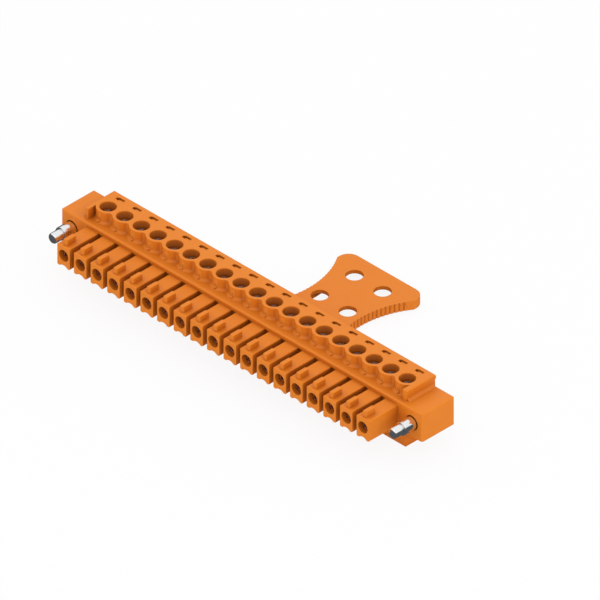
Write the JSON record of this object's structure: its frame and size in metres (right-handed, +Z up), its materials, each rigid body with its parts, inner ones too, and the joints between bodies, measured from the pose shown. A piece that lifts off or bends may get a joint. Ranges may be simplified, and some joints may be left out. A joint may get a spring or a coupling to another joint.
{
  "type": "pluggable terminal block",
  "caption": "Long moulded plug with a row of screw clamps, socket towers in front, screw flanges at both ends and a clip-on strain relief plate behind.",
  "frame": {"origin": "middle of the row on the rest face, straight under the line of clamp screws", "axes": "+X along the row, +Y towards the wires and the strain relief plate, +Z up through the clamp screws"},
  "size_m": [0.0828, 0.0379, 0.0109],
  "materials": {
    "housing_plastic": "orange moulded polyamide, satin",
    "clamp_screw_steel": "zinc plated",
    "yoke_steel": "nickel plated",
    "contact_bronze": "bare spring bronze",
    "flange_screw_steel": "bright nickel plated"
  },
  "bodies": {
    "housing": {"housing": "housing_plastic", "strain_relief": "housing_plastic", "contacts": "contact_bronze"},
    "flange_screw_left": {"flange_screw_left": "flange_screw_steel"},
    "flange_screw_right": {"flange_screw_right": "flange_screw_steel"},
    "clamp_screw_01": {"clamp_screw_01": "clamp_screw_steel"},
    "clamp_yoke_01": {"clamp_yoke_01": "yoke_steel"},
    "clamp_screw_02": {"clamp_screw_02": "clamp_screw_steel"},
    "clamp_yoke_02": {"clamp_yoke_02": "yoke_steel"},
    "clamp_screw_03": {"clamp_screw_03": "clamp_screw_steel"},
    "clamp_yoke_03": {"clamp_yoke_03": "yoke_steel"},
    "clamp_screw_04": {"clamp_screw_04": "clamp_screw_steel"},
    "clamp_yoke_04": {"clamp_yoke_04": "yoke_steel"},
    "clamp_screw_05": {"clamp_screw_05": "clamp_screw_steel"},
    "clamp_yoke_05": {"clamp_yoke_05": "yoke_steel"},
    "clamp_screw_06": {"clamp_screw_06": "clamp_screw_steel"},
    "clamp_yoke_06": {"clamp_yoke_06": "yoke_steel"},
    "clamp_screw_07": {"clamp_screw_07": "clamp_screw_steel"},
    "clamp_yoke_07": {"clamp_yoke_07": "yoke_steel"},
    "clamp_screw_08": {"clamp_screw_08": "clamp_screw_steel"},
    "clamp_yoke_08": {"clamp_yoke_08": "yoke_steel"},
    "clamp_screw_09": {"clamp_screw_09": "clamp_screw_steel"},
    "clamp_yoke_09": {"clamp_yoke_09": "yoke_steel"},
    "clamp_screw_10": {"clamp_screw_10": "clamp_screw_steel"},
    "clamp_yoke_10": {"clamp_yoke_10": "yoke_steel"},
    "clamp_screw_11": {"clamp_screw_11": "clamp_screw_steel"},
    "clamp_yoke_11": {"clamp_yoke_11": "yoke_steel"},
    "clamp_screw_12": {"clamp_screw_12": "clamp_screw_steel"},
    "clamp_yoke_12": {"clamp_yoke_12": "yoke_steel"},
    "clamp_screw_13": {"clamp_screw_13": "clamp_screw_steel"},
    "clamp_yoke_13": {"clamp_yoke_13": "yoke_steel"},
    "clamp_screw_14": {"clamp_screw_14": "clamp_screw_steel"},
    "clamp_yoke_14": {"clamp_yoke_14": "yoke_steel"},
    "clamp_screw_15": {"clamp_screw_15": "clamp_screw_steel"},
    "clamp_yoke_15": {"clamp_yoke_15": "yoke_steel"},
    "clamp_screw_16": {"clamp_screw_16": "clamp_screw_steel"},
    "clamp_yoke_16": {"clamp_yoke_16": "yoke_steel"},
    "clamp_screw_17": {"clamp_screw_17": "clamp_screw_steel"},
    "clamp_yoke_17": {"clamp_yoke_17": "yoke_steel"},
    "clamp_screw_18": {"clamp_screw_18": "clamp_screw_steel"},
    "clamp_yoke_18": {"clamp_yoke_18": "yoke_steel"},
    "clamp_screw_19": {"clamp_screw_19": "clamp_screw_steel"},
    "clamp_yoke_19": {"clamp_yoke_19": "yoke_steel"}
  },
  "joints": [
    {"name": "flange_screw_left_turn", "type": "hinge", "parent": "housing", "child": "flange_screw_left", "pos_m": [-0.03896, 0, 0.00616], "axis": [0, -1, 0], "continuous": true},
    {"name": "flange_screw_right_turn", "type": "hinge", "parent": "housing", "child": "flange_screw_right", "pos_m": [0.03896, 0, 0.00616], "axis": [0, -1, 0], "continuous": true},
    {"name": "clamp_screw_01_turn", "type": "hinge", "parent": "housing", "child": "clamp_screw_01", "pos_m": [-0.03429, 0, 0.009], "axis": [0, 0, -1], "range_deg": [0, 1260]},
    {"name": "clamp_yoke_01_lift", "type": "slide", "parent": "housing", "child": "clamp_yoke_01", "axis": [0, 0, 1], "range_m": [0, 0.0014]},
    {"name": "clamp_screw_02_turn", "type": "hinge", "parent": "housing", "child": "clamp_screw_02", "pos_m": [-0.03048, 0, 0.009], "axis": [0, 0, -1], "range_deg": [0, 1260]},
    {"name": "clamp_yoke_02_lift", "type": "slide", "parent": "housing", "child": "clamp_yoke_02", "axis": [0, 0, 1], "range_m": [0, 0.0014]},
    {"name": "clamp_screw_03_turn", "type": "hinge", "parent": "housing", "child": "clamp_screw_03", "pos_m": [-0.02667, 0, 0.009], "axis": [0, 0, -1], "range_deg": [0, 1260]},
    {"name": "clamp_yoke_03_lift", "type": "slide", "parent": "housing", "child": "clamp_yoke_03", "axis": [0, 0, 1], "range_m": [0, 0.0014]},
    {"name": "clamp_screw_04_turn", "type": "hinge", "parent": "housing", "child": "clamp_screw_04", "pos_m": [-0.02286, 0, 0.009], "axis": [0, 0, -1], "range_deg": [0, 1260]},
    {"name": "clamp_yoke_04_lift", "type": "slide", "parent": "housing", "child": "clamp_yoke_04", "axis": [0, 0, 1], "range_m": [0, 0.0014]},
    {"name": "clamp_screw_05_turn", "type": "hinge", "parent": "housing", "child": "clamp_screw_05", "pos_m": [-0.01905, 0, 0.009], "axis": [0, 0, -1], "range_deg": [0, 1260]},
    {"name": "clamp_yoke_05_lift", "type": "slide", "parent": "housing", "child": "clamp_yoke_05", "axis": [0, 0, 1], "range_m": [0, 0.0014]},
    {"name": "clamp_screw_06_turn", "type": "hinge", "parent": "housing", "child": "clamp_screw_06", "pos_m": [-0.01524, 0, 0.009], "axis": [0, 0, -1], "range_deg": [0, 1260]},
    {"name": "clamp_yoke_06_lift", "type": "slide", "parent": "housing", "child": "clamp_yoke_06", "axis": [0, 0, 1], "range_m": [0, 0.0014]},
    {"name": "clamp_screw_07_turn", "type": "hinge", "parent": "housing", "child": "clamp_screw_07", "pos_m": [-0.01143, 0, 0.009], "axis": [0, 0, -1], "range_deg": [0, 1260]},
    {"name": "clamp_yoke_07_lift", "type": "slide", "parent": "housing", "child": "clamp_yoke_07", "axis": [0, 0, 1], "range_m": [0, 0.0014]},
    {"name": "clamp_screw_08_turn", "type": "hinge", "parent": "housing", "child": "clamp_screw_08", "pos_m": [-0.00762, 0, 0.009], "axis": [0, 0, -1], "range_deg": [0, 1260]},
    {"name": "clamp_yoke_08_lift", "type": "slide", "parent": "housing", "child": "clamp_yoke_08", "axis": [0, 0, 1], "range_m": [0, 0.0014]},
    {"name": "clamp_screw_09_turn", "type": "hinge", "parent": "housing", "child": "clamp_screw_09", "pos_m": [-0.00381, 0, 0.009], "axis": [0, 0, -1], "range_deg": [0, 1260]},
    {"name": "clamp_yoke_09_lift", "type": "slide", "parent": "housing", "child": "clamp_yoke_09", "axis": [0, 0, 1], "range_m": [0, 0.0014]},
    {"name": "clamp_screw_10_turn", "type": "hinge", "parent": "housing", "child": "clamp_screw_10", "pos_m": [0, 0, 0.009], "axis": [0, 0, -1], "range_deg": [0, 1260]},
    {"name": "clamp_yoke_10_lift", "type": "slide", "parent": "housing", "child": "clamp_yoke_10", "axis": [0, 0, 1], "range_m": [0, 0.0014]},
    {"name": "clamp_screw_11_turn", "type": "hinge", "parent": "housing", "child": "clamp_screw_11", "pos_m": [0.00381, 0, 0.009], "axis": [0, 0, -1], "range_deg": [0, 1260]},
    {"name": "clamp_yoke_11_lift", "type": "slide", "parent": "housing", "child": "clamp_yoke_11", "axis": [0, 0, 1], "range_m": [0, 0.0014]},
    {"name": "clamp_screw_12_turn", "type": "hinge", "parent": "housing", "child": "clamp_screw_12", "pos_m": [0.00762, 0, 0.009], "axis": [0, 0, -1], "range_deg": [0, 1260]},
    {"name": "clamp_yoke_12_lift", "type": "slide", "parent": "housing", "child": "clamp_yoke_12", "axis": [0, 0, 1], "range_m": [0, 0.0014]},
    {"name": "clamp_screw_13_turn", "type": "hinge", "parent": "housing", "child": "clamp_screw_13", "pos_m": [0.01143, 0, 0.009], "axis": [0, 0, -1], "range_deg": [0, 1260]},
    {"name": "clamp_yoke_13_lift", "type": "slide", "parent": "housing", "child": "clamp_yoke_13", "axis": [0, 0, 1], "range_m": [0, 0.0014]},
    {"name": "clamp_screw_14_turn", "type": "hinge", "parent": "housing", "child": "clamp_screw_14", "pos_m": [0.01524, 0, 0.009], "axis": [0, 0, -1], "range_deg": [0, 1260]},
    {"name": "clamp_yoke_14_lift", "type": "slide", "parent": "housing", "child": "clamp_yoke_14", "axis": [0, 0, 1], "range_m": [0, 0.0014]},
    {"name": "clamp_screw_15_turn", "type": "hinge", "parent": "housing", "child": "clamp_screw_15", "pos_m": [0.01905, 0, 0.009], "axis": [0, 0, -1], "range_deg": [0, 1260]},
    {"name": "clamp_yoke_15_lift", "type": "slide", "parent": "housing", "child": "clamp_yoke_15", "axis": [0, 0, 1], "range_m": [0, 0.0014]},
    {"name": "clamp_screw_16_turn", "type": "hinge", "parent": "housing", "child": "clamp_screw_16", "pos_m": [0.02286, 0, 0.009], "axis": [0, 0, -1], "range_deg": [0, 1260]},
    {"name": "clamp_yoke_16_lift", "type": "slide", "parent": "housing", "child": "clamp_yoke_16", "axis": [0, 0, 1], "range_m": [0, 0.0014]},
    {"name": "clamp_screw_17_turn", "type": "hinge", "parent": "housing", "child": "clamp_screw_17", "pos_m": [0.02667, 0, 0.009], "axis": [0, 0, -1], "range_deg": [0, 1260]},
    {"name": "clamp_yoke_17_lift", "type": "slide", "parent": "housing", "child": "clamp_yoke_17", "axis": [0, 0, 1], "range_m": [0, 0.0014]},
    {"name": "clamp_screw_18_turn", "type": "hinge", "parent": "housing", "child": "clamp_screw_18", "pos_m": [0.03048, 0, 0.009], "axis": [0, 0, -1], "range_deg": [0, 1260]},
    {"name": "clamp_yoke_18_lift", "type": "slide", "parent": "housing", "child": "clamp_yoke_18", "axis": [0, 0, 1], "range_m": [0, 0.0014]},
    {"name": "clamp_screw_19_turn", "type": "hinge", "parent": "housing", "child": "clamp_screw_19", "pos_m": [0.03429, 0, 0.009], "axis": [0, 0, -1], "range_deg": [0, 1260]},
    {"name": "clamp_yoke_19_lift", "type": "slide", "parent": "housing", "child": "clamp_yoke_19", "axis": [0, 0, 1], "range_m": [0, 0.0014]}
  ],
  "couplings": [
    {"joint": "clamp_screw_01_turn", "follows": "clamp_yoke_01_lift", "rad_per_m": 15708},
    {"joint": "clamp_screw_02_turn", "follows": "clamp_yoke_02_lift", "rad_per_m": 15708},
    {"joint": "clamp_screw_03_turn", "follows": "clamp_yoke_03_lift", "rad_per_m": 15708},
    {"joint": "clamp_screw_04_turn", "follows": "clamp_yoke_04_lift", "rad_per_m": 15708},
    {"joint": "clamp_screw_05_turn", "follows": "clamp_yoke_05_lift", "rad_per_m": 15708},
    {"joint": "clamp_screw_06_turn", "follows": "clamp_yoke_06_lift", "rad_per_m": 15708},
    {"joint": "clamp_screw_07_turn", "follows": "clamp_yoke_07_lift", "rad_per_m": 15708},
    {"joint": "clamp_screw_08_turn", "follows": "clamp_yoke_08_lift", "rad_per_m": 15708},
    {"joint": "clamp_screw_09_turn", "follows": "clamp_yoke_09_lift", "rad_per_m": 15708},
    {"joint": "clamp_screw_10_turn", "follows": "clamp_yoke_10_lift", "rad_per_m": 15708},
    {"joint": "clamp_screw_11_turn", "follows": "clamp_yoke_11_lift", "rad_per_m": 15708},
    {"joint": "clamp_screw_12_turn", "follows": "clamp_yoke_12_lift", "rad_per_m": 15708},
    {"joint": "clamp_screw_13_turn", "follows": "clamp_yoke_13_lift", "rad_per_m": 15708},
    {"joint": "clamp_screw_14_turn", "follows": "clamp_yoke_14_lift", "rad_per_m": 15708},
    {"joint": "clamp_screw_15_turn", "follows": "clamp_yoke_15_lift", "rad_per_m": 15708},
    {"joint": "clamp_screw_16_turn", "follows": "clamp_yoke_16_lift", "rad_per_m": 15708},
    {"joint": "clamp_screw_17_turn", "follows": "clamp_yoke_17_lift", "rad_per_m": 15708},
    {"joint": "clamp_screw_18_turn", "follows": "clamp_yoke_18_lift", "rad_per_m": 15708},
    {"joint": "clamp_screw_19_turn", "follows": "clamp_yoke_19_lift", "rad_per_m": 15708}
  ]
}
